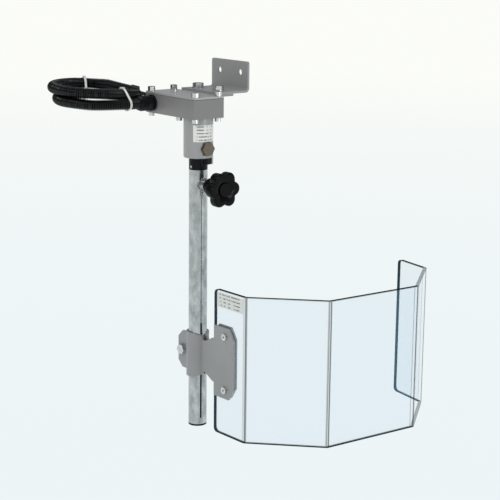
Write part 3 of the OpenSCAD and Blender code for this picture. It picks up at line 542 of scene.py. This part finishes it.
capLow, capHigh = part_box("gland_cap")
ribs = nodeMesh("glandRibs", gripTree(), bpy.data.meshes.new("glandRibsStart"), {
    "Ribs": gland["ribs"], "Ring radius": (capHigh.x - capLow.x) / 2 - gland["sunk"],
    "Rib radius": gland["ribRadius"], "Rib length": gland["ribLength"], "Material": paint["gland"]})
ribCentre = (middle(capLow.x, capHigh.x), capHigh.y - gland["ribLength"] / 2 - gland["fromEnd"],
             middle(capLow.z, capHigh.z))
ribs.transform(Matrix.Translation(ribCentre) @ Matrix.Rotation(math.pi / 2, 4, "X"))
ribPiece = addPiece("glandRibs", ribs, "head", 50)
print("gland ribs made")


ties = {
    "at": (8, 163),                  # degrees round the coil
    "width": 0.003,
    "thick": 0.0011,
    "clear": 0.00025,                # between the conduit and the strap
    "bendSteps": 24,                 # for each of the two half turns
    "inside": 0.88,                  # the strap's inner face against its outer one
    "lock": (0.0034, 0.0040, 0.0016),
    "lockFoot": 0.00044,             # above the strap's inner face, so that it is sunk in the strap
    "lockAt": -0.001,
    "clipped": (0.003, 0.0021, 0.0011),
    "clippedAt": 0.0028,
    "clippedUp": 0.0006,
    "beyond": 0.03,                  # nearer the coil's centre than this is no crossing
}


def crossings(angle):
    # where the conduit passes through the upright plane at this angle, as (out from the centre, height)
    turn = (Matrix.Translation(coilCentre) @ Matrix.Rotation(math.radians(angle), 4, "Z")).inverted()
    local = [turn @ p for p in route]
    found = []
    for a, b in zip(local, local[1:]):
        if a.y * b.y <= 0 and a.x > ties["beyond"]:
            f = a.y / (a.y - b.y) if a.y != b.y else 0
            found.append(Vector((a.x + (b.x - a.x) * f, a.z + (b.z - a.z) * f)))
    return found


def addStrap(t, turn, low, high, points, faces):
    # one closed strap round both crossings: a half turn over the upper, then one under the lower
    inner, steps, base = conduit["radius"] + t["clear"], t["bendSteps"], len(points)
    outer, halfWidth = inner + t["thick"], t["width"] / 2
    lean = math.atan2(high.y - low.y, high.x - low.x)
    for centre, start in ((high, lean - math.pi / 2), (low, lean + math.pi / 2)):
        for k in range(steps):
            a = start + math.pi * k / (steps - 1)
            for r, y in ((inner, -t["inside"]), (inner, t["inside"]), (outer, 1), (outer, -1)):
                out, up = centre.x + r * math.cos(a), centre.y + r * math.sin(a)
                points.append(turn @ Vector((out, y * halfWidth, up)))
    for k in range(2 * steps):
        a, b = base + 4 * k, base + 4 * ((k + 1) % (2 * steps))
        faces += [(a + j, a + (j + 1) % 4, b + (j + 1) % 4, b + j) for j in range(4)]


def addBlock(turn, x, foot, size, points, faces):
    base = len(points)
    for z in (foot, foot + size[2]):
        for y in (-size[1] / 2, size[1] / 2):
            points += [turn @ Vector((x + side * size[0] / 2, y, z)) for side in (-1, 1)]
    for corners in ((0, 2, 3, 1), (4, 5, 7, 6), (0, 1, 5, 4), (2, 6, 7, 3), (0, 4, 6, 2), (1, 3, 7, 5)):
        faces.append(tuple(base + corner for corner in corners))


def tieMesh(t):
    points, faces = [], []
    for angle in t["at"]:
        turn = Matrix.Translation(coilCentre) @ Matrix.Rotation(math.radians(angle), 4, "Z")
        low, high = sorted(crossings(angle), key=lambda p: p.y)[:2]
        addStrap(t, turn, low, high, points, faces)
        top = high.y + conduit["radius"] + t["clear"] + t["lockFoot"]
        addBlock(turn, high.x + t["lockAt"], top, t["lock"], points, faces)
        addBlock(turn, high.x + t["clippedAt"], top + t["clippedUp"], t["clipped"], points, faces)
    return meshFrom("cableTies", points, faces)


tiePiece = addPiece("cableTies", tieMesh(ties), "head", 40, paint["tie"])
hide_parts("cable_ties")
tuple(mouth)
[tuple(p) for p in route]
print("cable ties made")


shield = {
    "facets": (62, 110, 149, 110, 62),           # mm, along the middle of the sheet
    "bend": 42.5,                                # degrees at each fold
    "from": 39,
    "turn": 1.4,
    "thick": 5,
    "foldRadius": 8,
    "foldSteps": 8,
    "dark": ((5, 6), (5, 6), (1, 2, 3), (5, 6)), # the steps of each fold that look darkest
    # height in mm of the painted shade strip along the top and bottom cut edges
    "rim": 0.9,
    # this facet's cut edges get a paler painted shade
    "paleFacet": 3,                              # the facet whose cut edges catch the light
    "corner": 6,
    "cornerSteps": 6,
}
sheetLooks = ("sheet", "sheetEdgeShade", "sheetFoldShade", "sheetCreaseShade", "sheetRimShade", "sheetPaleEdgeShade")


def onCircle(centre, radius, degrees):
    a = math.radians(degrees)
    return centre + radius * Vector((math.sin(a), -math.cos(a)))


def cornerCut(s):
    # how far along the sheet each step of a rounded corner is, and how much height it takes off
    cut = []
    for k in range(s["cornerSteps"] + 1):
        along = s["corner"] * (1 - math.cos(math.pi / 2 * k / s["cornerSteps"]))
        left = max(0, s["corner"] ** 2 - (s["corner"] - along) ** 2)
        cut.append((along, s["corner"] - math.sqrt(left)))
    return cut


def shieldColumns(s):
    # upright lines along the middle of the sheet: place, heading, height taken off, face look, facet
    columns = []
    corner, heading = Vector((s["from"], 0.0)), 0.0
    r = s["foldRadius"] - s["thick"] / 2
    setback = r * math.tan(math.radians(s["bend"] / 2))
    last = len(s["facets"]) - 1
    for i, length in enumerate(s["facets"]):
        a = math.radians(heading)
        along, inward = Vector((math.cos(a), math.sin(a))), Vector((-math.sin(a), math.cos(a)))
        stops = cornerCut(s) if i == 0 else [(setback, 0.0)]
        if i == last:
            stops += [(length - d, cut) for d, cut in reversed(cornerCut(s))]
        else:
            stops.append((length - setback, 0.0))
        columns += [(corner + d * along, heading, cut, "sheet", i) for d, cut in stops]
        if i < last:
            columns[-1] = (*columns[-1][:3], "sheetFoldShade", i)
            centre = corner + (length - setback) * along + r * inward
            for k in range(1, s["foldSteps"]):
                at = heading + s["bend"] * k / s["foldSteps"]
                # the darkest steps of each fold get the crease look, the rest the fold look: both are painted
                # shade at the bend
                look = "sheetCreaseShade" if k in s["dark"][i] else "sheetFoldShade"
                columns.append((onCircle(centre, r, at), at, 0.0, look, i))
        corner = corner + length * along
        heading += s["bend"]
    return columns


def shieldMesh(s):
    height = (shieldHigh.z - shieldLow.z) * 1000
    place = Matrix.Translation((pivot.x, pivot.y, shieldLow.z))
    place = place @ Matrix.Rotation(math.radians(s["turn"]), 4, "Z") @ Matrix.Scale(0.001, 4)
    columns = shieldColumns(s)
    points, faces, looks = [], [], []
    for at, heading, cut, *_ in columns:
        heights = (cut, cut + s["rim"], height - cut - s["rim"], height - cut)
        for side, zs in ((1, heights), (-1, reversed(heights))):
            spot = onCircle(at, side * s["thick"] / 2, heading)
            points += [place @ Vector((*spot, z)) for z in zs]
    for k, (*_, face, facet) in enumerate(columns[:-1]):
        a, b = 8 * k, 8 * (k + 1)
        faces += [(a + j, b + j, b + (j + 1) % 8, a + (j + 1) % 8) for j in range(8)]
        # cut edges and the strips along them get painted shade, paler on the facet whose edges catch the
        # light
        edge, rim = ("sheetPaleEdgeShade", "sheetFoldShade") if facet == s["paleFacet"] else ("sheetEdgeShade", "sheetRimShade")
        looks += [rim, face, rim, edge] * 2
    end = 8 * (len(columns) - 1)
    faces += [tuple(range(8)), tuple(end + j for j in reversed(range(8)))]
    looks += ["sheetEdgeShade", "sheetEdgeShade"]
    mesh = bpy.data.meshes.new("shieldSheet")
    mesh.from_pydata(points, [], faces)
    for look in sheetLooks:
        mesh.materials.append(paint[look])
    for polygon, look in zip(mesh.polygons, looks):
        polygon.material_index = sheetLooks.index(look)
    work = bmesh.new()
    work.from_mesh(mesh)
    bmesh.ops.recalc_face_normals(work, faces=work.faces)
    work.to_mesh(mesh)
    work.free()
    return mesh


shieldPiece = addPiece("shieldSheet", shieldMesh(shield), "guard", 12)
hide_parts("shield")
print("shield made")


knob = {
    "lobes": 6,
    "turn": 1,                       # degrees
    "lobe": 0.0088,                  # radius of a lobe's end
    "core": 0.0192,                  # radius between the lobes
    "blend": 18,                     # higher is a sharper corner between lobe and core
    "head": 0.013,                   # thickness of the lobed part
    "neck": ((0, 0), (0, 0.0105), (0.0006, 0.0115), (0.012, 0.0118)),   # height and radius, from its foot
    "flare": (0.001, 0.0005, 0.0045),    # starts past the neck, stops before the lobes, widens by
    "back": 0.90,                    # share of the star's outline where its back starts
    "edge": 0.0026,                  # rounding of the lobes
    "face": (0.0001, -0.005, 0.94),  # below the top, radius added, share of the outline
    "dish": ((0.0012, 0.0095), (0.0016, 0.0090), (0.0016, 0)),          # below the top, radius
    "around": 120,
}


def knobReach(k, outer, a):
    # the star's radius at angle a: the further of the lobe and the core, softly joined
    pitch = 2 * math.pi / k["lobes"]
    off = (a - math.radians(k["turn"]) + pitch / 2) % pitch - pitch / 2
    arm = outer - k["lobe"]
    inside = k["lobe"] ** 2 - (arm * math.sin(off)) ** 2
    lobe = arm * math.cos(off) + math.sqrt(inside) if inside > 0 else arm * math.cos(off) * 0.9
    return min(outer, (lobe ** k["blend"] + k["core"] ** k["blend"]) ** (1 / k["blend"]))


def knobMesh(k):
    low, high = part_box("clamping_knob")
    outer = max(high.y - low.y, high.z - low.z) / 2
    centre = middle(low, high)
    lobeLow, e = high.x - k["head"], k["edge"]
    gap, short, wider = k["flare"]
    neckEnd, neckRadius = k["neck"][-1]
    flareLow = low.x + neckEnd + gap
    flareLength = lobeLow - short - flareLow
    quarter = [math.pi / 2 * i / 4 for i in range(5)]
    # each layer is its x, the radius to add and the share of the star's outline
    layers = [(low.x + up, radius, 0) for up, radius in k["neck"]]
    layers += [(flareLow + flareLength * t, neckRadius + wider * t * t, 0) for t in (0, 0.25, 0.5, 0.75, 1)]
    layers.append((lobeLow, 0, k["back"]))
    layers += [(lobeLow + e - e * math.cos(a), e * math.sin(a) - e, 1) for a in quarter]
    layers += [(high.x - e + e * math.sin(a), e * math.cos(a) - e, 1) for a in quarter]
    layers.append((high.x - k["face"][0], *k["face"][1:]))
    layers += [(high.x - down, radius, 0) for down, radius in k["dish"]]
    count = k["around"]
    points, faces = [], []
    for x, add, share in layers:
        for j in range(count):
            a = 2 * math.pi * j / count
            r = knobReach(k, outer, a) * share + add if share else max(add, 1e-5)
            points.append((x, centre.y + r * math.cos(a), centre.z + r * math.sin(a)))
    for i in range(len(layers) - 1):
        for j in range(count):
            a, b = i * count + j, i * count + (j + 1) % count
            faces.append((a, b, b + count, a + count))
    return meshFrom("knobStar", points, faces)


knobPiece = addPiece("knobStar", knobMesh(knob), "knob", 45, paint["knob"])
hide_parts("clamping_knob")
print("knob made")


weld = {"beads": 16, "beadSize": 0.0017, "seed": 4, "proud": 0.0003, "spread": 1.04, "vary": (0.85, 1.1)}


def beadTree():
    tree, given, out = newTree("weldBead", [
        ("Bead size", "NodeSocketFloat", 0.0017), ("Seed", "NodeSocketInt", 4),
        ("Least", "NodeSocketFloat", 0.85), ("Most", "NodeSocketFloat", 1.1),
        ("Material", "NodeSocketMaterial", None)])
    ball = tree.nodes.new("GeometryNodeMeshIcoSphere")
    ball.inputs["Subdivisions"].default_value = 2
    tree.links.new(given.outputs["Bead size"], ball.inputs["Radius"])
    vary = tree.nodes.new("FunctionNodeRandomValue")
    vary.data_type = "FLOAT"
    named = {s.name: s for s in vary.inputs if s.enabled}
    for label, socket in (("Least", "Min"), ("Most", "Max"), ("Seed", "Seed")):
        tree.links.new(given.outputs[label], named[socket])
    scatter = tree.nodes.new("GeometryNodeInstanceOnPoints")
    tree.links.new(given.outputs["Geometry"], scatter.inputs["Points"])
    tree.links.new(ball.outputs["Mesh"], scatter.inputs["Instance"])
    tree.links.new([s for s in vary.outputs if s.enabled][0], scatter.inputs["Scale"])
    endTree(tree, out, scatter.outputs["Instances"], given.outputs["Material"])
    return tree


def weldPoints(w):
    # along the line where the round boss meets the round tube
    low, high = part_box("knob_boss")
    tubeRadius = (tubeHigh.x - tubeLow.x) / 2
    bossRadius = (high.y - low.y) / 2
    mesh = bpy.data.meshes.new("weldPoints")
    spots = []
    for i in range(w["beads"]):
        a = 2 * math.pi * i / w["beads"]
        y, z = bossRadius * math.cos(a), bossRadius * math.sin(a)
        out = math.sqrt(tubeRadius ** 2 - y ** 2) + w["proud"]
        spots.append((pivot.x + out, pivot.y + y * w["spread"], middle(low.z, high.z) + z * w["spread"]))
    mesh.from_pydata(spots, [], [])
    return mesh


beadMesh = nodeMesh("bossWeld", beadTree(), weldPoints(weld), {
    "Bead size": weld["beadSize"], "Seed": weld["seed"], "Least": weld["vary"][0], "Most": weld["vary"][1],
    "Material": paint["boss"]})
weldPiece = addPiece("bossWeld", beadMesh, "guard", 60)
print("weld made")


room = {
    "drop": 0.19,                    # the floor is this far under the shield, clear of its lowest place
    "half": 24,
    "near": (0.82, 0.885, 0.905),
    "far": (0.955, 0.965, 0.92),
    "from": 0.5,                     # the near colour ends here, and the far one starts at "to"
    "to": 7.0,
}


def makeRoom(r):
    height = shieldLow.z - r["drop"]
    signs = ((-1, -1), (1, -1), (1, 1), (-1, 1))
    corners = [(pivot.x + a * r["half"], pivot.y + b * r["half"], height) for a, b in signs]
    mesh = bpy.data.meshes.new("floor")
    mesh.from_pydata(corners, [], [(0, 1, 2, 3)])
    floor = bpy.data.objects.new("floor", mesh)
    scene.collection.objects.link(floor)
    material, tree, shader = newMaterial("floorPaper")
    coords = tree.nodes.new("ShaderNodeTexCoord")
    away = tree.nodes.new("ShaderNodeVectorMath")
    away.operation = "DISTANCE"
    away.inputs[1].default_value = (pivot.x, pivot.y, height)
    tree.links.new(coords.outputs["Object"], away.inputs[0])
    share = tree.nodes.new("ShaderNodeMapRange")
    share.inputs["From Min"].default_value, share.inputs["From Max"].default_value = r["from"], r["to"]
    tree.links.new(away.outputs["Value"], share.inputs["Value"])
    tone = ramp(tree, share.outputs["Result"], [(0.0, r["near"]), (1.0, r["far"])])
    shader.inputs["Base Color"].default_value = (0.04, 0.04, 0.04, 1)
    shader.inputs["Specular IOR Level"].default_value = 0.0
    tree.links.new(tone.outputs["Color"], shader.inputs["Emission Color"])
    shader.inputs["Emission Strength"].default_value = 1.0
    shader.inputs["Roughness"].default_value = 0.9
    mesh.materials.append(material)


def addLight(name, place, target, size, power, colour):
    data = bpy.data.lights.new(name, "AREA")
    data.shape = "RECTANGLE"
    data.size, data.size_y = size
    data.energy = power
    data.color = colour
    lamp = bpy.data.objects.new(name, data)
    scene.collection.objects.link(lamp)
    turn = (Vector(target) - Vector(place)).to_track_quat("-Z", "Y").to_matrix().to_4x4()
    lamp.matrix_world = Matrix.Translation(place) @ turn


def makeWorld(colour, strength):
    world = bpy.data.worlds.new("studio")
    scene.world = world
    world.use_nodes = True
    background = world.node_tree.nodes["Background"]
    background.inputs["Color"].default_value = (*colour, 1)
    background.inputs["Strength"].default_value = strength


lightAim = (0.05, -0.05, -0.2)
lights = {                           # place, size in metres, watts, colour
    "keyLight": ((0.6, -1.9, 1.5), (0.9, 0.7), 16, (1.0, 0.99, 0.96)),
    "fillLight": ((1.9, 0.35, 0.3), (0.35, 1.4), 9, (0.94, 0.97, 1.0)),
    "topLight": ((-0.2, 0.2, 2.0), (1.2, 1.2), 12, (1, 1, 1)),
}
makeRoom(room)
for name, (place, size, power, colour) in lights.items():
    addLight(name, place, lightAim, size, power, colour)
makeWorld((0.92, 0.96, 1.0), 0.30)
scene.view_settings.view_transform = "Standard"
print("room and lights made")
